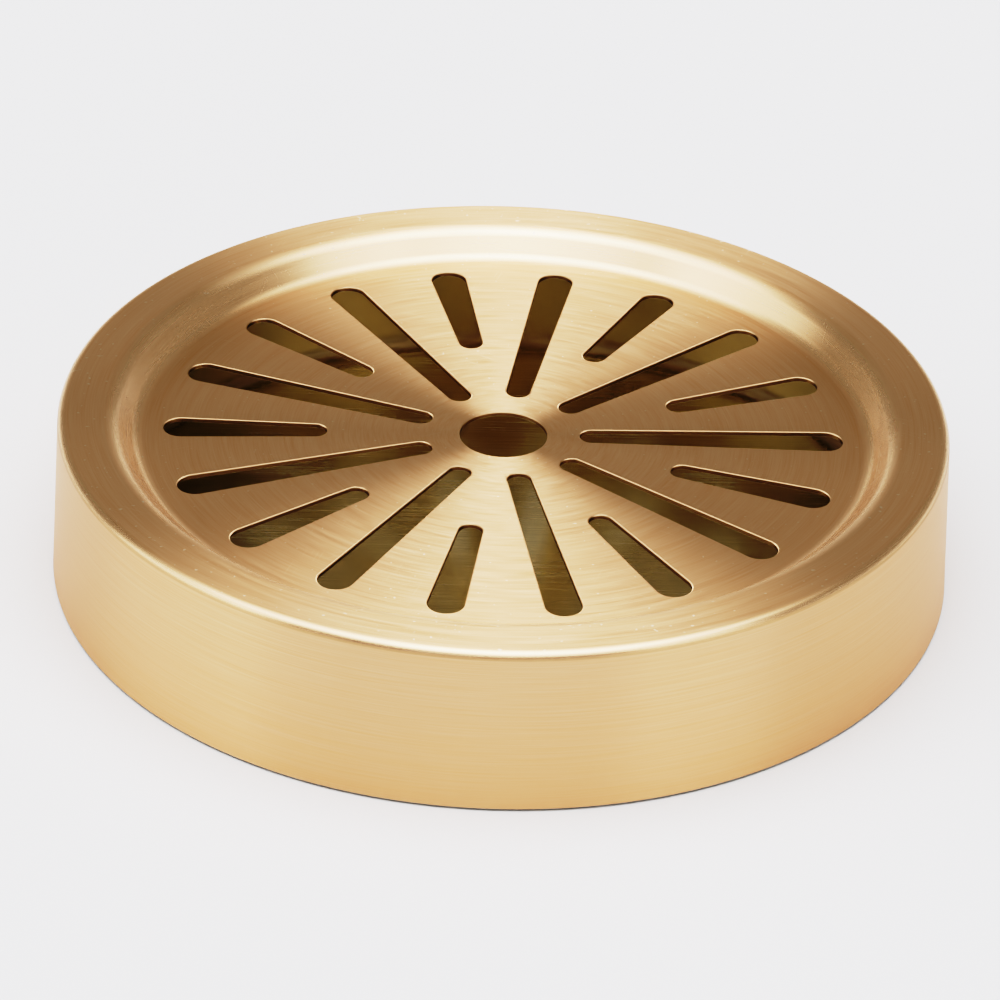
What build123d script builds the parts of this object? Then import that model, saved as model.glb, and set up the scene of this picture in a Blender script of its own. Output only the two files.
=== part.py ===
from build123d import *
from math import cos, radians, sin, tan
import os

# A round countertop drip tray: a slotted cover drawn from one sheet stands over a shallow
# catch pan with a rolled rim, and the pan stands on soft pads. Millimetres, +Z up, with the
# origin on the tray's axis at the level of the counter.

# The sheet, and how the three kinds of piece stack up.
SHEET = 0.8  # thickness of the drawn sheet
PAD_HEIGHT = 1.2
SKIRT_GAP = 0.4  # air under the cover's skirt, so that the pan carries it
SKIRT_HEIGHT = 28.6  # skirt's bottom edge to the shoulder's top
PLATE_DROP = 4.45  # shoulder's top down to the slotted plate

# The cover's outline.
TOP_RADIUS = 75.0
FOOT_RADIUS = 76.2  # the skirt widens a little towards its foot
CORNER_RADIUS = 1.5
SHOULDER_INNER_RADIUS = 65.8  # where the shoulder's flat meets the slope, before rounding
SHOULDER_BEND = 3.9
SLOPE_ANGLE = 48.0  # of the slope between shoulder and plate, in degrees
PLATE_BEND = 3.0

# The slots and the finger hole in the plate.
SLOT_COUNT = 18  # long and short slots take turns
SLOT_TIP_RADIUS = 57.4
LONG_SLOT_START = 12.9
SHORT_SLOT_START = 29.8
SLOT_OUTER_END = 3.0  # half the slot's width at its outer end
SLOT_INNER_END = 2.0
FINGER_HOLE_RADIUS = 7.4
EDGE_BREAK = 0.2  # rounding of the punched edges

# The catch pan.
PAN_RADIUS = 72.1  # outside of the wall at the rim
PAN_DRAFT = 1.0  # lean of the wall, in degrees
PAN_CORNER = 4.0  # outside, where wall meets floor
RIM_BEAD_RADIUS = 1.0

# The pads.
PAD_COUNT = 4
PAD_RADIUS = 6.0
PAD_CIRCLE = 52.0
PAD_ROUNDING = 0.3

# Levels above the counter.
SHOULDER_TOP = SKIRT_GAP + SKIRT_HEIGHT
PLATE_TOP = SHOULDER_TOP - PLATE_DROP
PLATE_BOTTOM = PLATE_TOP - SHEET
RIM_TOP = SHOULDER_TOP - SHEET


def turned(wires):
    """The solid that a closed outline in the XZ plane sweeps about the Z axis."""
    return revolve(make_face(wires), axis=Axis.Z)


def cover_corners(inset):
    """The cover's corners from its foot to the axis, with the sheet's face moved in by inset."""
    lean = (FOOT_RADIUS - TOP_RADIUS) / SKIRT_HEIGHT
    top = SHOULDER_TOP - inset
    plate = PLATE_TOP - inset
    wall = inset * (1 + lean**2) ** 0.5  # the wall's inset, measured along the radius
    slope_shift = inset * tan(radians(SLOPE_ANGLE / 2))
    slope_foot = SHOULDER_INNER_RADIUS - PLATE_DROP / tan(radians(SLOPE_ANGLE))
    return [
        (FOOT_RADIUS - wall, SKIRT_GAP),
        (TOP_RADIUS - wall + inset * lean, top),
        (SHOULDER_INNER_RADIUS + slope_shift, top),
        (slope_foot + slope_shift, plate),
        (0, plate),
    ]


def slot_outline(start):
    """One slot along +X: two round ends of different size and their common tangents."""
    near = Pos(start + SLOT_INNER_END, 0) * Circle(SLOT_INNER_END)
    far = Pos(SLOT_TIP_RADIUS - SLOT_OUTER_END, 0) * Circle(SLOT_OUTER_END)
    return make_hull(near.edges() + far.edges())


def slotted_cover():
    """Skirt, shoulder, slope and slotted plate, drawn from one sheet."""
    outer = FilletPolyline(
        *[(r, 0, z) for r, z in cover_corners(0)],
        radius=[CORNER_RADIUS, SHOULDER_BEND, PLATE_BEND],
    )
    inner = FilletPolyline(
        *[(r, 0, z) for r, z in cover_corners(SHEET)],
        radius=[CORNER_RADIUS - SHEET, SHOULDER_BEND - SHEET, PLATE_BEND + SHEET],
    )
    ends = [Line(outer @ 0, inner @ 0), Line(outer @ 1, inner @ 1)]
    sheet = turned(outer.edges() + inner.edges() + ends)

    below_plate = Pos(0, 0, PLATE_BOTTOM - SHEET)
    holes = [below_plate * extrude(Circle(FINGER_HOLE_RADIUS), 3 * SHEET)]
    for index in range(SLOT_COUNT):
        start = SHORT_SLOT_START if index % 2 else LONG_SLOT_START
        slot = below_plate * extrude(slot_outline(start), 3 * SHEET)
        holes.append(Rot(0, 0, index * 360 / SLOT_COUNT) * slot)
    punched = sheet - holes
    rims = new_edges(sheet, *holes, combined=punched)
    return fillet(rims.group_by(Axis.Z)[-1], EDGE_BREAK)


def catch_pan():
    """A shallow drawn pan, its rim rolled into a bead that carries the cover."""
    floor = PAD_HEIGHT
    bead_height = RIM_TOP - RIM_BEAD_RADIUS
    lean = tan(radians(PAN_DRAFT))
    foot = PAN_RADIUS - lean * (bead_height - floor)
    outer = FilletPolyline(
        (PAN_RADIUS, 0, bead_height), (foot, 0, floor), (0, 0, floor), radius=PAN_CORNER
    )
    inner = FilletPolyline(
        (PAN_RADIUS - SHEET, 0, bead_height),
        (foot - SHEET + lean * SHEET, 0, floor + SHEET),
        (0, 0, floor + SHEET),
        radius=PAN_CORNER - SHEET,
    )
    ends = [Line(outer @ 0, inner @ 0), Line(outer @ 1, inner @ 1)]
    pan = turned(outer.edges() + inner.edges() + ends)
    bead = Pos(0, 0, bead_height) * Torus(PAN_RADIUS - SHEET / 2, RIM_BEAD_RADIUS)
    return pan + bead


def non_slip_pad(index):
    """One soft disc stuck under the pan, rounded where it meets the counter."""
    pad = Cylinder(PAD_RADIUS, PAD_HEIGHT, align=(Align.CENTER, Align.CENTER, Align.MIN))
    pad = fillet(pad.edges().group_by(Axis.Z)[0], PAD_ROUNDING)
    angle = radians((index + 0.5) * 360 / PAD_COUNT)
    return Pos(PAD_CIRCLE * cos(angle), PAD_CIRCLE * sin(angle), 0) * pad


pieces = {"slotted_cover": slotted_cover(), "catch_pan": catch_pan()}
for index in range(PAD_COUNT):
    pieces[f"non_slip_pad_{index + 1}"] = non_slip_pad(index)

os.makedirs("parts", exist_ok=True)
for name, shape in pieces.items():
    export_step(shape, f"parts/{name}.step")
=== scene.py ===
from math import asin, atan2, ceil, cos, hypot, pi, radians, sin, tan

import bmesh
import bpy
from mathutils import Matrix, Vector


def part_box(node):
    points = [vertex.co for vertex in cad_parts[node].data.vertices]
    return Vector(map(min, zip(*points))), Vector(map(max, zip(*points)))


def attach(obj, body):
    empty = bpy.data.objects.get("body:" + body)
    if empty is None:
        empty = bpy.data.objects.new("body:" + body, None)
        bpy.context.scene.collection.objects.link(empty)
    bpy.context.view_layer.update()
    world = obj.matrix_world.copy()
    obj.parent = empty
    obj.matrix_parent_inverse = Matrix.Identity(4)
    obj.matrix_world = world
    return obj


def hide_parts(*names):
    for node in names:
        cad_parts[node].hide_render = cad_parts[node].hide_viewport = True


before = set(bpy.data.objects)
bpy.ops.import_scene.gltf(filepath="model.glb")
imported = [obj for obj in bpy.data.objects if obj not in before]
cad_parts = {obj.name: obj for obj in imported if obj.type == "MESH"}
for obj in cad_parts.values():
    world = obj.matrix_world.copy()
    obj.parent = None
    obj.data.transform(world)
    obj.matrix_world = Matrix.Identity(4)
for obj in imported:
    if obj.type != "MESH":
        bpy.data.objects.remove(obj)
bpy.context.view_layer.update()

MM = 0.001

# Sizes of the cover that its box doesn't give. They repeat those of the design.
SHEET = 0.8 * MM
PLATE_DROP = 4.45 * MM
TOP_RADIUS = 75.0 * MM
CORNER_RADIUS = 1.5 * MM
SHOULDER_INNER_RADIUS = 65.8 * MM
SHOULDER_BEND = 3.9 * MM
SLOPE_ANGLE = radians(48)
PLATE_BEND = 3.0 * MM

SLOT_COUNT = 18
SLOT_TIP_RADIUS = 57.4 * MM
LONG_SLOT_START = 12.9 * MM
SHORT_SLOT_START = 29.8 * MM
SLOT_OUTER_END = 3.0 * MM
SLOT_INNER_END = 2.0 * MM
FINGER_HOLE_RADIUS = 7.4 * MM

# Sizes of the pan and the pads.
PAN_DRAFT = radians(1)
PAN_CORNER = 4.0 * MM
PAN_RADIUS = 72.1 * MM  # outside of the wall at the rim
BEAD_RADIUS = 1.0 * MM
NECK_DEPTH = 2.2 * BEAD_RADIUS  # from the rim's top down to the plain wall
NECK_BEND = 0.5 * MM
PAD_RADIUS = 6.0 * MM
PAD_ROUNDING = 0.3 * MM
PAD_TOP_ROUNDING = 0.1 * MM
PAD_DISH = 0.12 * MM  # how deep the pad's underside is dished
PAD_LIP = 1.6 * MM  # width of the flat ring round the dish
PAD_DISH_BEND = 0.6 * MM

# Rounding of the cut edges: punched ones roll over on top and are deburred below.
ROLL_OVER = 0.24 * MM
DEBURR = 0.1 * MM
FOOT_ROUNDING = 0.2 * MM

# Levels and radii that the frame gives.
cover_low, cover_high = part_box("slotted_cover")
pan_low, pan_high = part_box("catch_pan")
FOOT_RADIUS = cover_high.x
SHOULDER_TOP = cover_high.z
PLATE_TOP = SHOULDER_TOP - PLATE_DROP
PLATE_BOTTOM = PLATE_TOP - SHEET

# Around the centre of a floor or a pad, the innermost ring that a fan of faces closes.
PAN_FAN = 1.0 * MM
PAD_FAN = 0.3 * MM

# How finely the surfaces are divided.
AROUND_OUTER = 20  # segments of one slot's sector at its outer edge
AROUND_INNER = 12  # and at its inner edge
ALONG_SLOT = 24
TURN_SEGMENTS = SLOT_COUNT * AROUND_OUTER
BEND_STEP = radians(4)
LONGEST_RUN = 4 * MM


# ---------------------------------------------------------------- mesh building

class Surface:
    """Points with their exact normals, and the faces between rings of them."""

    def __init__(self):
        self.points, self.normals, self.faces = [], [], []

    def point(self, place, normal):
        self.points.append(Vector(place))
        self.normals.append(Vector(normal).normalized())
        return len(self.points) - 1

    def strip(self, first, second):
        """Quads between two closed rings of equal length."""
        for i in range(len(first)):
            j = (i + 1) % len(first)
            self.faces.append((first[i], first[j], second[j], second[i]))

    def fan(self, ring, centre):
        for i in range(len(ring)):
            self.faces.append((ring[i], ring[(i + 1) % len(ring)], centre))

    def ring(self, radius, height, normal_out, normal_up, count=TURN_SEGMENTS):
        """A circle of points about the Z axis, starting half a sector before +X."""
        first = -pi / SLOT_COUNT
        made = []
        for i in range(count):
            a = first + 2 * pi * i / count
            place = (radius * cos(a), radius * sin(a), height)
            normal = (normal_out * cos(a), normal_out * sin(a), normal_up)
            made.append(self.point(place, normal))
        return made

    def turn(self, profile, count=TURN_SEGMENTS):
        """Sweeps a profile of (radius, height, normal out, normal up) about the Z axis and
        returns its end rings."""
        rings = [self.ring(*step, count=count) for step in profile]
        for first, second in zip(rings, rings[1:]):
            self.strip(first, second)
        return rings[0], rings[-1]

    def build(self, name):
        """The object, its faces turned outwards and shaded with the exact normals."""
        mesh = bpy.data.meshes.new(name)
        mesh.from_pydata([p[:] for p in self.points], [], self.faces)
        bm = bmesh.new()
        bm.from_mesh(mesh)
        bmesh.ops.recalc_face_normals(bm, faces=bm.faces)
        bm.faces.ensure_lookup_table()
        face = bm.faces[0]
        if face.normal.dot(self.normals[face.verts[0].index]) < 0:
            bmesh.ops.reverse_faces(bm, faces=bm.faces)
        bm.to_mesh(mesh)
        bm.free()
        mesh.polygons.foreach_set("use_smooth", [True] * len(mesh.polygons))
        mesh.normals_split_custom_set_from_vertices([n[:] for n in self.normals])
        piece = bpy.data.objects.new(name, mesh)
        bpy.context.scene.collection.objects.link(piece)
        return piece


def rounded(corners, bends):
    """Steps along a path of (radius, height) corners with rounded bends, each with its normal.
    The normal is on the left of the path."""
    marks = [Vector(c) for c in corners]
    steps = []

    def add(place, way):
        steps.append((place.x, place.y, -way.y, way.x))

    def run(start, end, way):
        """A straight stretch, divided where it is long."""
        parts = max(1, ceil((end - start).length / LONGEST_RUN))
        for i in range(parts + 1):
            add(start.lerp(end, i / parts), way)

    start = marks[0]
    for i, bend in enumerate(bends, 1):
        way_in = (marks[i] - marks[i - 1]).normalized()
        way_out = (marks[i + 1] - marks[i]).normalized()
        turn = atan2(way_in.x * way_out.y - way_in.y * way_out.x, way_in.dot(way_out))
        reach = bend * tan(abs(turn) / 2)
        run(start, marks[i] - way_in * reach, way_in)
        side = Vector((-way_in.y, way_in.x)) * (1 if turn > 0 else -1)
        centre = marks[i] - way_in * reach + side * bend
        parts = max(2, ceil(abs(turn) / BEND_STEP))
        for j in range(1, parts):
            spin = Matrix.Rotation(turn * j / parts, 2)
            add(centre - (spin @ side) * bend, spin @ way_in)
        start = marks[i] + way_out * reach
    run(start, marks[-1], (marks[-1] - marks[-2]).normalized())
    return steps


# ---------------------------------------------------------------- the slotted cover

HOLE_RIM = FINGER_HOLE_RADIUS + 1.8 * MM  # radius where the slots' sectors begin
PLATE_RIM = SLOT_TIP_RADIUS + 2.6 * MM  # and where they end, on the flat of the plate
SPREAD = (0.05, 0.2, 0.5)  # how far the rings round a slot lie towards its sector's edge


def slot_ring(start, grow):
    """A slot along +X, grown all round: (x, y, outward x, outward y) for each point."""
    near, far = start + SLOT_INNER_END, SLOT_TIP_RADIUS - SLOT_OUTER_END
    reach = pi / 2 + asin((SLOT_OUTER_END - SLOT_INNER_END) / (far - near))

    def on_arc(centre, radius, angle):
        size = radius + grow
        return (centre + size * cos(angle), size * sin(angle), cos(angle), sin(angle))

    def side(first, second):
        for i in range(1, ALONG_SLOT):
            share = i / ALONG_SLOT
            yield tuple(a + (b - a) * share for a, b in zip(first, second))

    outer = [
        on_arc(far, SLOT_OUTER_END, reach * (2 * i / AROUND_OUTER - 1))
        for i in range(AROUND_OUTER + 1)
    ]
    inner = [
        on_arc(near, SLOT_INNER_END, reach + 2 * (pi - reach) * i / AROUND_INNER)
        for i in range(AROUND_INNER + 1)
    ]
    return [*outer, *side(outer[-1], inner[0]), *inner, *side(inner[-1], outer[0])]


def plate_face(surface, height, up, outer, grow):
    """One side of the slotted plate, from the ring outer to the slots' and the hole's edges.
    Returns the edge rings, the hole's first."""
    spoke_count = ALONG_SLOT - 1
    inner = surface.ring(HOLE_RIM, height, 0, up, count=SLOT_COUNT * AROUND_INNER)
    spokes = []
    for k in range(SLOT_COUNT):
        a = 2 * pi * (k - 0.5) / SLOT_COUNT
        spokes.append([])
        for i in range(1, spoke_count + 1):
            r = PLATE_RIM + (HOLE_RIM - PLATE_RIM) * i / ALONG_SLOT
            spokes[k].append(surface.point((r * cos(a), r * sin(a), height), (0, 0, up)))

    hole = surface.ring(
        FINGER_HOLE_RADIUS + grow, height, 0, up, count=SLOT_COUNT * AROUND_INNER
    )
    surface.strip(inner, hole)
    edges = [hole]
    for k in range(SLOT_COUNT):
        after = (k + 1) % SLOT_COUNT
        outside = [
            outer[(k * AROUND_OUTER + i) % len(outer)] for i in range(AROUND_OUTER + 1)
        ]
        inside = [
            inner[(k * AROUND_INNER + i) % len(inner)] for i in range(AROUND_INNER + 1)
        ]
        sector = outside + spokes[after] + inside[::-1] + spokes[k][::-1]
        spin = Matrix.Rotation(2 * pi * k / SLOT_COUNT, 3, "Z")
        start = SHORT_SLOT_START if k % 2 else LONG_SLOT_START
        edge = [spin @ Vector((x, y, height)) for x, y, _, _ in slot_ring(start, grow)]
        rings = [[surface.point(p, (0, 0, up)) for p in edge]]
        edges.append(rings[0])
        for share in SPREAD:
            rings.append([
                surface.point(p.lerp(surface.points[s], share), (0, 0, up))
                for p, s in zip(edge, sector)
            ])
        rings.append(sector)
        for first, second in zip(rings, rings[1:]):
            surface.strip(first, second)
    return edges


def punched_wall(surface, top, bottom, ring_at):
    """The wall of a punched hole between its edge rings on the plate's two faces.
    ring_at(grow) gives the hole's outline as (x, y, outward x, outward y)."""
    levels = []
    for i in range(1, 5):  # the rolled-over upper edge
        a = pi / 2 * i / 4
        levels.append((ROLL_OVER * (1 - sin(a)), PLATE_TOP - ROLL_OVER * (1 - cos(a)), a))
    for i in range(0, 3):  # the deburred lower edge
        a = pi / 2 * (1 + i / 3)
        levels.append((DEBURR * (1 - sin(a)), PLATE_BOTTOM + DEBURR * (1 + cos(a)), a))
    previous = top
    for grow, height, a in levels:
        ring = [
            surface.point((x, y, height), (-nx * sin(a), -ny * sin(a), cos(a)))
            for x, y, nx, ny in ring_at(grow)
        ]
        surface.strip(previous, ring)
        previous = ring
    surface.strip(previous, bottom)


def hole_ring(grow):
    """The finger hole's outline, in step with the plate's inner ring."""
    count = SLOT_COUNT * AROUND_INNER
    size = FINGER_HOLE_RADIUS + grow
    angles = [2 * pi * i / count - pi / SLOT_COUNT for i in range(count)]
    return [(size * cos(a), size * sin(a), cos(a), sin(a)) for a in angles]


def turned_slot_ring(k, grow):
    """Slot k's outline at its place in the plate."""
    a = 2 * pi * k / SLOT_COUNT
    start = SHORT_SLOT_START if k % 2 else LONG_SLOT_START
    return [
        (x * cos(a) - y * sin(a), x * sin(a) + y * cos(a),
         nx * cos(a) - ny * sin(a), nx * sin(a) + ny * cos(a))
        for x, y, nx, ny in slot_ring(start, grow)
    ]


def cover_mesh():
    """Skirt, shoulder, slope and slotted plate as one closed sheet."""
    lean = (FOOT_RADIUS - TOP_RADIUS) / (SHOULDER_TOP - cover_low.z)
    wall = SHEET * hypot(1, lean)
    shift = SHEET * tan(SLOPE_ANGLE / 2)
    slope_foot = SHOULDER_INNER_RADIUS - PLATE_DROP / tan(SLOPE_ANGLE)
    profile = rounded(
        [
            (PLATE_RIM, PLATE_TOP),
            (slope_foot, PLATE_TOP),
            (SHOULDER_INNER_RADIUS, SHOULDER_TOP),
            (TOP_RADIUS, SHOULDER_TOP),
            (FOOT_RADIUS, cover_low.z),
            (FOOT_RADIUS - wall, cover_low.z),
            (TOP_RADIUS - wall + SHEET * lean, SHOULDER_TOP - SHEET),
            (SHOULDER_INNER_RADIUS + shift, SHOULDER_TOP - SHEET),
            (slope_foot + shift, PLATE_BOTTOM),
            (PLATE_RIM, PLATE_BOTTOM),
        ],
        [
            PLATE_BEND, SHOULDER_BEND, CORNER_RADIUS, FOOT_ROUNDING, FOOT_ROUNDING,
            CORNER_RADIUS - SHEET, SHOULDER_BEND - SHEET, PLATE_BEND + SHEET,
        ],
    )
    surface = Surface()
    above, below = surface.turn(profile)
    top_edges = plate_face(surface, PLATE_TOP, 1, above, ROLL_OVER)
    bottom_edges = plate_face(surface, PLATE_BOTTOM, -1, below, DEBURR)
    punched_wall(surface, top_edges[0], bottom_edges[0], hole_ring)
    for k in range(SLOT_COUNT):
        punched_wall(
            surface, top_edges[k + 1], bottom_edges[k + 1],
            lambda grow, k=k: turned_slot_ring(k, grow),
        )
    return surface.build("slotted_cover_sheet")


# ---------------------------------------------------------------- the pan and the pads

def pan_mesh():
    """The drawn pan with its rolled rim."""
    rim_top = pan_high.z
    rim_out = pan_high.x
    wall_out = rim_out - BEAD_RADIUS + SHEET / 2
    neck = rim_top - NECK_DEPTH
    floor = pan_low.z
    foot = wall_out - tan(PAN_DRAFT) * (rim_top - BEAD_RADIUS - floor)
    foot_in = foot - SHEET * (1 - tan(PAN_DRAFT))
    flare = 0.6 * BEAD_RADIUS
    profile = rounded(
        [
            (PAN_FAN, floor + SHEET),
            (foot_in, floor + SHEET),
            (wall_out - SHEET, neck),
            (wall_out - SHEET - flare, neck + flare),
            (rim_out - 2 * BEAD_RADIUS, rim_top),
            (rim_out, rim_top),
            (rim_out, neck + flare),
            (wall_out, neck),
            (foot, floor),
            (PAN_FAN, floor),
        ],
        [
            PAN_CORNER - SHEET, NECK_BEND, NECK_BEND, 0.9 * BEAD_RADIUS,
            0.9 * BEAD_RADIUS, NECK_BEND, NECK_BEND, PAN_CORNER,
        ],
    )
    # The path runs outwards over the floor and back under it, so its left side is outside.
    surface = Surface()
    inside, outside = surface.turn(profile)
    surface.fan(inside, surface.point((0, 0, floor + SHEET), (0, 0, 1)))
    surface.fan(outside, surface.point((0, 0, floor), (0, 0, -1)))
    return surface.build("catch_pan_sheet")


def pad_mesh(name):
    """A soft disc with a rounded foot, slightly dished where it meets the counter."""
    low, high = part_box(name)
    centre = (low + high) / 2
    profile = rounded(
        [
            (PAD_FAN, high.z),
            (PAD_RADIUS, high.z),
            (PAD_RADIUS, low.z),
            (PAD_RADIUS - PAD_LIP, low.z),
            (PAD_RADIUS - 1.5 * PAD_LIP, low.z + PAD_DISH),
            (PAD_FAN, low.z + PAD_DISH),
        ],
        [PAD_TOP_ROUNDING, PAD_ROUNDING, PAD_DISH_BEND, PAD_DISH_BEND],
    )
    surface = Surface()
    top, bottom = surface.turn(profile, count=96)
    surface.fan(top, surface.point((0, 0, high.z), (0, 0, 1)))
    surface.fan(bottom, surface.point((0, 0, low.z + PAD_DISH), (0, 0, -1)))
    piece = surface.build(name + "_disc")
    piece.data.transform(Matrix.Translation((centre.x, centre.y, 0)))
    return piece


# ---------------------------------------------------------------- materials

class Nodes:
    """A node tree, with short ways to add maths and textures."""

    def __init__(self, tree):
        self.tree = tree

    def add(self, kind, **settings):
        made = self.tree.nodes.new(kind)
        for name, value in settings.items():
            setattr(made, name, value)
        return made

    def feed(self, socket, value):
        if isinstance(value, bpy.types.NodeSocket):
            self.tree.links.new(value, socket)
        else:
            socket.default_value = value

    def maths(self, operation, *values, clamp=False):
        made = self.add("ShaderNodeMath", operation=operation, use_clamp=clamp)
        for socket, value in zip(made.inputs, values):
            self.feed(socket, value)
        return made.outputs[0]

    def times(self, first, second, **settings):
        return self.maths("MULTIPLY", first, second, **settings)

    def plus(self, first, second):
        return self.maths("ADD", first, second)

    def minus(self, first, second, **settings):
        return self.maths("SUBTRACT", first, second, **settings)

    def dot(self, first, second):
        made = self.add("ShaderNodeVectorMath", operation="DOT_PRODUCT")
        self.feed(made.inputs[0], first)
        self.feed(made.inputs[1], second)
        return made.outputs["Value"]

    def vector(self, x, y, z):
        made = self.add("ShaderNodeCombineXYZ")
        for socket, value in zip(made.inputs, (x, y, z)):
            self.feed(socket, value)
        return made.outputs[0]

    def angle_between(self, first, second):
        """The angle between two directions, whatever their lengths."""
        units = []
        for value in (first, second):
            made = self.add("ShaderNodeVectorMath", operation="NORMALIZE")
            self.feed(made.inputs[0], value)
            units.append(made.outputs[0])
        return self.maths("ARCCOSINE", self.dot(*units))

    def split(self, socket):
        made = self.add("ShaderNodeSeparateXYZ")
        self.feed(made.inputs[0], socket)
        return made.outputs

    def noise(self, place, scale=1.0, detail=3.0, roughness=0.5):
        made = self.add("ShaderNodeTexNoise")
        for name, value in (
            ("Vector", place), ("Scale", scale), ("Detail", detail), ("Roughness", roughness)
        ):
            self.feed(made.inputs[name], value)
        return made.outputs[0]

    def stretched_noise(self, places, scales, **settings):
        """Noise whose three directions each have a scale of their own."""
        scaled = [self.times(place, scale) for place, scale in zip(places, scales)]
        return self.noise(self.vector(*scaled), **settings)

    def ramp(self, value, low, high, to_low, to_high, shape="LINEAR"):
        """Maps value from low..high to to_low..to_high, held at the ends."""
        made = self.add("ShaderNodeMapRange", interpolation_type=shape)
        for socket, number in zip(made.inputs, (value, low, high, to_low, to_high)):
            self.feed(socket, number)
        return made.outputs[0]

    def blend(self, share, first, second):
        """A colour between two colours."""
        made = self.add("ShaderNodeMix", data_type="RGBA")
        self.feed(made.inputs["Factor"], share)
        self.feed(made.inputs[6], first)
        self.feed(made.inputs[7], second)
        return made.outputs[2]

    def bump(self, height, distance):
        made = self.add("ShaderNodeBump")
        self.feed(made.inputs["Height"], height)
        made.inputs["Strength"].default_value = 1.0
        made.inputs["Distance"].default_value = distance
        return made.outputs[0]

    def scratches(self, place, turn, level):
        """1 on fine straight scratches in one direction, in patches, and 0 elsewhere."""
        spun = self.add("ShaderNodeVectorRotate", rotation_type="Z_AXIS")
        self.feed(spun.inputs["Vector"], place)
        spun.inputs["Angle"].default_value = turn
        x, y, _ = self.split(spun.outputs[0])
        fine = self.stretched_noise((x, y, turn), (180.0, 4200.0, 1.0), detail=0.0)
        coarse = self.noise(spun.outputs[0], scale=90.0, detail=1.0)
        lines = self.ramp(fine, 0.74, 0.8, 0.0, 1.0)
        patches = self.ramp(coarse, 0.54, 0.64, 0.0, 1.0)
        return self.times(self.times(lines, patches), level)

    def object_place(self):
        """The place on the piece and its surface's direction, both in its own frame."""
        made = self.add("ShaderNodeTexCoord")
        return made.outputs["Object"], made.outputs["Normal"]


class Finish(Nodes):
    """A material's nodes and its shader."""

    def __init__(self, name):
        self.material = bpy.data.materials.new(name)
        self.material.use_nodes = True
        super().__init__(self.material.node_tree)
        self.shader = self.tree.nodes["Principled BSDF"]


ACROSS_STROKES = 0.25  # a quarter turn: light spreads across the brushing
BRASS = (0.79, 0.52, 0.315, 1)
PALE_BRASS_AND_HIGHLIGHT = (0.84, 0.61, 0.39, 1)  # the brushing's light streaks, and the painted highlight on the bends and the rims
DEEP_BRASS_AND_SHADE = (0.73, 0.43, 0.22, 1)  # and its dark ones, and the painted shade over the skirt's foot
CORNER_SHADE_BRASS = (0.62, 0.40, 0.22, 1)  # painted shade on the rounded corner over the skirt
CUT_SHADE_BRASS = (0.34, 0.21, 0.11, 1)  # painted shade on the walls of the slots and the finger hole
UNDER_BRASS = (0.84, 0.77, 0.64, 1)  # the cover's underside
DUST = (0.92, 0.82, 0.66, 1)
SHADED_FOOT_HEIGHT = 22 * MM  # how far up the skirt the painted shade at its foot reaches


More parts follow.
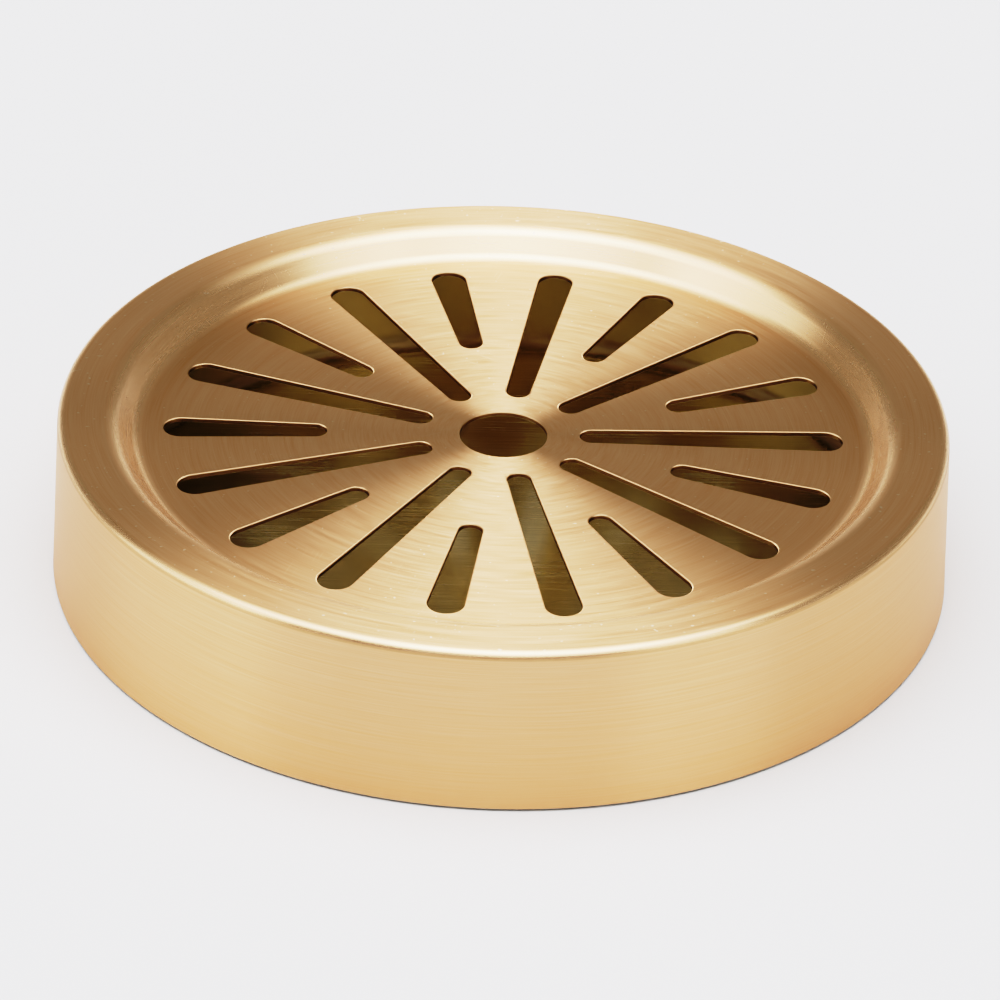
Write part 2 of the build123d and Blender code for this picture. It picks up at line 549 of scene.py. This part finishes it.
def brushed_cover():
    """Satin brass, brushed in circles about the tray's axis, glossier on its bends, painted paler
    on its bends and rims as a highlight and darker as shade on its corner, its foot and its cut
    walls.
    """
    n = Finish("brushed_brass_turned")
    place, facing = n.object_place()
    x, y, z = n.split(place)
    radius = n.maths("SQRT", n.plus(n.times(x, x), n.times(y, y)))
    out_x, out_y = n.maths("DIVIDE", x, radius), n.maths("DIVIDE", y, radius)
    across = n.minus(radius, n.times(z, 2.0))

    def strokes(reach, lines_per_mm, **settings):
        """Noise drawn out round the axis: reach sets how short its strokes are."""
        scales = (reach, reach, lines_per_mm / MM)
        return n.stretched_noise((out_x, out_y, across), scales, **settings)

    # Where the surface is level (1, and 0 on a wall), and where it is bent or sloped. In the
    # plate: the cut walls, in painted shade, and the rims that roll over into them, with a
    # painted highlight. Over the skirt: the corner, in painted shade.
    _, _, up = n.split(facing)
    level = n.times(up, up)
    tilt = n.times(level, n.minus(1.0, level))
    bent = n.times(tilt, 5.0, clamp=True)
    in_plate = n.maths("LESS_THAN", radius, PLATE_RIM)
    cut = n.times(n.ramp(level, 0.0, 0.1, 1.0, 0.0), in_plate)
    rim = n.times(n.ramp(level, 0.9, 0.99, 1.0, 0.0), in_plate)
    rim = n.minus(rim, cut, clamp=True)
    corner = n.times(
        n.ramp(level, 0.004, 0.02, 0.0, 1.0), n.ramp(level, 0.12, 0.3, 1.0, 0.0)
    )

    hairlines = strokes(5.0, 5.0, detail=2.0, roughness=0.6)
    bands = strokes(3.0, 1.3, detail=3.0, roughness=0.55)
    streaks = n.plus(n.times(hairlines, 0.5), n.times(bands, 0.5))
    arcs = n.ramp(strokes(1.6, 2.2, detail=1.0), 0.7, 0.76, 0.0, 1.0)
    clouds = n.noise(place, scale=28.0, detail=3.0)
    marks = n.maths(
        "MAXIMUM",
        n.scratches(place, 0.5, level),
        n.maths("MAXIMUM", n.scratches(place, 1.9, level), n.scratches(place, 2.7, level)),
    )
    dots = n.ramp(n.noise(place, scale=1500.0, detail=0.0), 0.81, 0.84, 0.0, 0.6)
    specks = n.times(dots, level)

    colour = n.blend(n.ramp(streaks, 0.3, 0.7, 0.0, 1.0), DEEP_BRASS_AND_SHADE, PALE_BRASS_AND_HIGHLIGHT)
    colour = n.blend(0.3, colour, BRASS)
    colour = n.blend(n.ramp(clouds, 0.35, 0.7, 0.0, 0.12), colour, DEEP_BRASS_AND_SHADE)
    # Painted shade: the skirt darker towards its foot.
    foot = n.ramp(z, cover_low.z, cover_low.z + SHADED_FOOT_HEIGHT, 0.5, 0.0)
    colour = n.blend(foot, colour, DEEP_BRASS_AND_SHADE)
    # Painted highlight: paler on the bends and the slope.
    colour = n.blend(n.times(bent, 0.6), colour, PALE_BRASS_AND_HIGHLIGHT)
    colour = n.blend(n.times(arcs, 0.25), colour, DEEP_BRASS_AND_SHADE)
    colour = n.blend(n.times(marks, 0.4), colour, PALE_BRASS_AND_HIGHLIGHT)
    colour = n.blend(specks, colour, DUST)
    # Painted shade on the rounded corner over the skirt.
    colour = n.blend(n.times(corner, 0.8), colour, CORNER_SHADE_BRASS)
    # Painted highlight on the rims round the slots and the finger hole.
    colour = n.blend(rim, colour, PALE_BRASS_AND_HIGHLIGHT)
    # Painted shade on the cut walls.
    colour = n.blend(cut, colour, CUT_SHADE_BRASS)
    colour = n.blend(n.ramp(up, -0.5, -0.2, 1.0, 0.0), colour, UNDER_BRASS)
    n.feed(n.shader.inputs["Base Color"], colour)

    rough = n.ramp(streaks, 0.3, 0.7, 0.28, 0.40)
    rough = n.minus(rough, n.times(bent, 0.09))
    rough = n.plus(rough, n.times(marks, 0.06))
    rough = n.plus(rough, n.times(specks, 0.25))
    rough = n.plus(rough, n.times(rim, 0.32))
    n.feed(n.shader.inputs["Roughness"], rough)
    relief = n.times(streaks, n.ramp(bent, 0.0, 1.0, 1.0, 0.35))
    relief = n.minus(relief, n.times(n.maths("MAXIMUM", marks, specks), 0.3))
    n.feed(n.shader.inputs["Normal"], n.bump(relief, 0.004 * MM))
    n.shader.inputs["Metallic"].default_value = 1.0
    n.shader.inputs["Anisotropic"].default_value = 1.0
    n.shader.inputs["Anisotropic Rotation"].default_value = ACROSS_STROKES
    around = n.add("ShaderNodeTangent", direction_type="RADIAL", axis="Z")
    n.feed(n.shader.inputs["Tangent"], around.outputs[0])
    return n.material


PAN_BRASS = (0.83, 0.71, 0.45, 1)  # the light and dark lines of the floor's grain
PAN_SHADE = (0.74, 0.62, 0.39, 1)
PAN_WALL = (0.83, 0.71, 0.50, 1)  # the inside of the wall
PAN_STAIN = (0.58, 0.44, 0.26, 1)
# painted shade for the corner between the pan's floor and its wall
PAN_CORNER_SHADE = (0.45, 0.31, 0.17, 1)


def brushed_pan():
    """Satin brass, its floor with a straight grain along X and a little dulled by use, and
    its walls brushed in circles."""
    n = Finish("brushed_brass_straight")
    place, facing = n.object_place()
    x, y, z = n.split(place)
    _, _, up = n.split(facing)
    level = n.times(up, up)  # 1 on the floor, 0 on the wall
    steep = n.minus(1.0, level)
    straight = n.stretched_noise((x, y, 0.0), (40.0, 2500.0, 1.0), detail=3.0)
    turned = n.stretched_noise(
        (x, y, z), (5.0 / PAN_RADIUS, 5.0 / PAN_RADIUS, 4.0 / MM), detail=2.0
    )
    grain = n.plus(n.times(straight, level), n.times(turned, steep))
    stains = n.times(n.noise(place, scale=60.0, detail=5.0, roughness=0.6), level)
    colour = n.blend(n.ramp(grain, 0.35, 0.65, 0.0, 1.0), PAN_SHADE, PAN_BRASS)
    colour = n.blend(n.ramp(stains, 0.5, 0.75, 0.0, 0.4), colour, PAN_STAIN)
    # -1 on the wall's inside, 0 on the floor and 1 on the wall's outside.
    outward = n.maths("DIVIDE", n.dot(facing, n.vector(x, y, 0.0)), PAN_RADIUS)
    colour = n.blend(n.ramp(outward, -0.8, -0.2, 1.0, 0.0), colour, PAN_WALL)
    colour = n.blend(n.ramp(outward, 0.2, 0.8, 0.0, 1.0), colour, BRASS)
    # Painted shade in the corner between the floor and the wall, darker towards the floor.
    inside = n.ramp(outward, 0.0, 0.1, 1.0, 0.0)
    low = n.ramp(z, pan_low.z + PAN_CORNER, pan_low.z + 2 * PAN_CORNER, 0.85, 0.0)
    corner = n.times(n.times(level, steep), 4.0)
    painted_corner_shade = n.times(corner, n.times(inside, low))
    colour = n.blend(painted_corner_shade, colour, PAN_CORNER_SHADE)
    n.feed(n.shader.inputs["Base Color"], colour)
    rough = n.plus(
        n.ramp(grain, 0.3, 0.7, 0.18, 0.25), n.ramp(stains, 0.4, 0.8, 0.0, 0.1)
    )
    rough = n.plus(rough, n.times(steep, 0.12))
    rough = n.plus(rough, n.times(painted_corner_shade, 0.15))
    n.feed(n.shader.inputs["Roughness"], rough)
    n.feed(n.shader.inputs["Normal"], n.bump(grain, 0.0015 * MM))
    n.shader.inputs["Metallic"].default_value = 1.0
    n.shader.inputs["Anisotropic"].default_value = 0.6
    n.shader.inputs["Anisotropic Rotation"].default_value = ACROSS_STROKES
    n.feed(n.shader.inputs["Tangent"], n.vector(1.0, 0.0, 0.0))
    return n.material


RUBBER_BLACK = (0.02, 0.02, 0.021, 1)
RUBBER_DUST = (0.12, 0.115, 0.105, 1)


def pad_rubber():
    """Dark soft rubber with a fine moulded grain, dusty where it has stood."""
    n = Finish("soft_black_rubber")
    place, _ = n.object_place()
    grain = n.noise(place, scale=5000.0, detail=2.0)
    dust = n.noise(place, scale=350.0, detail=5.0, roughness=0.65)
    colour = n.blend(n.ramp(dust, 0.45, 0.75, 0.0, 0.5), RUBBER_BLACK, RUBBER_DUST)
    n.feed(n.shader.inputs["Base Color"], colour)
    n.feed(n.shader.inputs["Roughness"], n.ramp(grain, 0.3, 0.7, 0.62, 0.8))
    n.feed(n.shader.inputs["Normal"], n.bump(grain, 0.02 * MM))
    return n.material


FLOOR_SHADE = (0.75, 0.75, 0.75, 1)
FLOOR_TINT = (0.78, 0.78, 0.78, 1)


def pale_floor():
    """The studio's plain pale floor."""
    n = Finish("pale_floor")
    place, _ = n.object_place()
    mottle = n.noise(place, scale=3.0, detail=2.0)
    colour = n.blend(n.ramp(mottle, 0.3, 0.7, 0.0, 1.0), FLOOR_SHADE, FLOOR_TINT)
    n.feed(n.shader.inputs["Base Color"], colour)
    n.feed(n.shader.inputs["Roughness"], 0.9)
    n.shader.inputs["Specular IOR Level"].default_value = 0.1
    return n.material


# ---------------------------------------------------------------- the studio

CAMERA_ELEVATION = radians(31.218)
CAMERA_AZIMUTH = radians(-1.2)  # the slots stand this far round from the camera's own axes
CAMERA_DISTANCE = 0.84422
CAMERA_ROLL = radians(1.925)
CAMERA_LENS_MM = 178.48
CAMERA_AIM = Vector((-0.21 * MM, 0, 11.53 * MM))

# The studio's light, as brightness, and angles from +X and from the horizon.
GLOW_LIGHT = 4.9
GLOW_TILT, GLOW_AZIMUTH = radians(5), radians(263)
GLOW_REACH = radians(47)  # from its middle to where it has faded out
SURROUNDING_LIGHT = 0.31
DIM_COLOUR = (1.0, 0.98, 0.92, 1)  # of the dim surroundings
GLOW_COLOUR = (1.0, 1.0, 1.05, 1)  # of the brightest light
CAMERA_GAP = (radians(262), radians(32), radians(35))  # azimuth, half width, top
GAP_DIMMING = 0.95  # share of the surroundings' light that it takes away
PANELS = [  # the same three angles, and the panel's brightness
    ((radians(187), radians(25), radians(56)), 1.1),
    ((radians(320.5), radians(17.5), radians(48)), 0.78),
    ((radians(90), radians(22), radians(17)), 0.6),
]
SOFT_EDGE = radians(7)

# The floor, and the backdrop that it sweeps up into.
FLOOR_RADIUS = 4.0
BACKDROP_RADIUS, BACKDROP_HEIGHT = 5.0, 0.6
BACKDROP_BEND = 1.5

# The tone curve: amounts of light, and how bright each shows in a render.
RESPONSE = [
    (0.0, 0.0), (0.05, 0.01), (0.09, 0.04), (0.18, 0.15), (0.31, 0.35), (0.46, 0.55),
    (0.68, 0.72), (1.0, 0.83), (1.4, 0.90), (2.6, 0.96), (4.5, 1.0),
]


def studio_camera():
    """The camera: it looks down on the tray's front from a distance, slightly rolled."""
    data = bpy.data.cameras.new("studio_camera")
    data.sensor_width = 36.0
    data.lens = CAMERA_LENS_MM
    data.clip_start, data.clip_end = 0.05, 50.0
    camera = bpy.data.objects.new("studio_camera", data)
    bpy.context.scene.collection.objects.link(camera)
    back = Vector((0, -cos(CAMERA_ELEVATION), sin(CAMERA_ELEVATION)))
    spin = Matrix.Rotation(CAMERA_AZIMUTH, 3, "Z")
    looking = back.to_track_quat("Z", "Y").to_matrix()
    rolled = looking @ Matrix.Rotation(CAMERA_ROLL, 3, "Z")
    place = CAMERA_AIM + back * CAMERA_DISTANCE
    camera.matrix_world = Matrix.Translation(spin @ place) @ (spin @ rolled).to_4x4()
    bpy.context.scene.camera = camera


def studio_floor():
    """A wide round floor that sweeps up into a backdrop all round."""
    surface = Surface()
    outline = [(0.02, 0.0), (FLOOR_RADIUS, 0.0), (BACKDROP_RADIUS, BACKDROP_HEIGHT)]
    inner, _ = surface.turn(rounded(outline, [BACKDROP_BEND]), count=96)
    surface.fan(inner, surface.point((0, 0, 0), (0, 0, 1)))
    floor = surface.build("studio_floor")
    floor.data.materials.append(pale_floor())


def studio_world():
    """Soft light from all round: a glow overhead, a tall panel on either side of the tray, a
    low one behind it, and dim surroundings that are darkest behind the camera."""
    world = bpy.data.worlds.new("studio_world")
    world.use_nodes = True
    n = Nodes(world.node_tree)
    way = n.add("ShaderNodeTexCoord").outputs["Generated"]
    x, y, z = n.split(way)
    level_way = n.vector(x, y, 0.0)
    rise = n.maths("ARCSINE", z)

    def window(azimuth, half_width, top):
        """1 in a stretch of the surroundings that starts at the horizon, 0 outside it."""
        turn = n.angle_between(level_way, (cos(azimuth), sin(azimuth), 0.0))
        share = 1.0
        for value, edge in ((turn, half_width), (rise, top)):
            inside = n.ramp(value, edge - SOFT_EDGE, edge + SOFT_EDGE, 1.0, 0.0, "SMOOTHSTEP")
            share = n.times(share, inside)
        return share

    aim = (cos(GLOW_AZIMUTH) * sin(GLOW_TILT), sin(GLOW_AZIMUTH) * sin(GLOW_TILT), cos(GLOW_TILT))
    glow = n.ramp(n.angle_between(way, aim), 0.0, GLOW_REACH, GLOW_LIGHT, 0.0)
    dimmed = n.times(window(*CAMERA_GAP), GAP_DIMMING * SURROUNDING_LIGHT)
    light = n.plus(glow, n.minus(SURROUNDING_LIGHT, dimmed))
    for place, brightness in PANELS:
        light = n.plus(light, n.times(window(*place), brightness))
    n.feed(world.node_tree.nodes["Background"].inputs["Strength"], light)
    tint = n.blend(n.ramp(light, SURROUNDING_LIGHT, 2.0, 0.0, 1.0), DIM_COLOUR, GLOW_COLOUR)
    n.feed(world.node_tree.nodes["Background"].inputs["Color"], tint)
    bpy.context.scene.world = world


def camera_response():
    """A photograph's tone curve: deeper shadows, and a soft shoulder up to white."""
    view = bpy.context.scene.view_settings
    view.view_transform = "Standard"
    view.use_curve_mapping = True
    white, _ = RESPONSE[-1]
    view.curve_mapping.white_level = (white, white, white)
    line = view.curve_mapping.curves[3]
    for light, shown in RESPONSE[1:-1]:
        line.points.new(light / white, shown)
    view.curve_mapping.update()


def dress(piece, body, slot, material, *nodes):
    """Gives a piece its material and its body, and hides the nodes that it stands for. The slot
    is not used.
    """
    piece.data.materials.append(material)
    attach(piece, body)
    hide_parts(*nodes)


studio_camera()
camera_response()
dress(cover_mesh(), "cover", "cover_metal", brushed_cover(), "slotted_cover")
dress(pan_mesh(), "pan", "pan_metal", brushed_pan(), "catch_pan")
rubber = pad_rubber()
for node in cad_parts:
    if node.startswith("non_slip_pad"):
        dress(pad_mesh(node), "pan", "pad_rubber", rubber, node)

studio_floor()
studio_world()
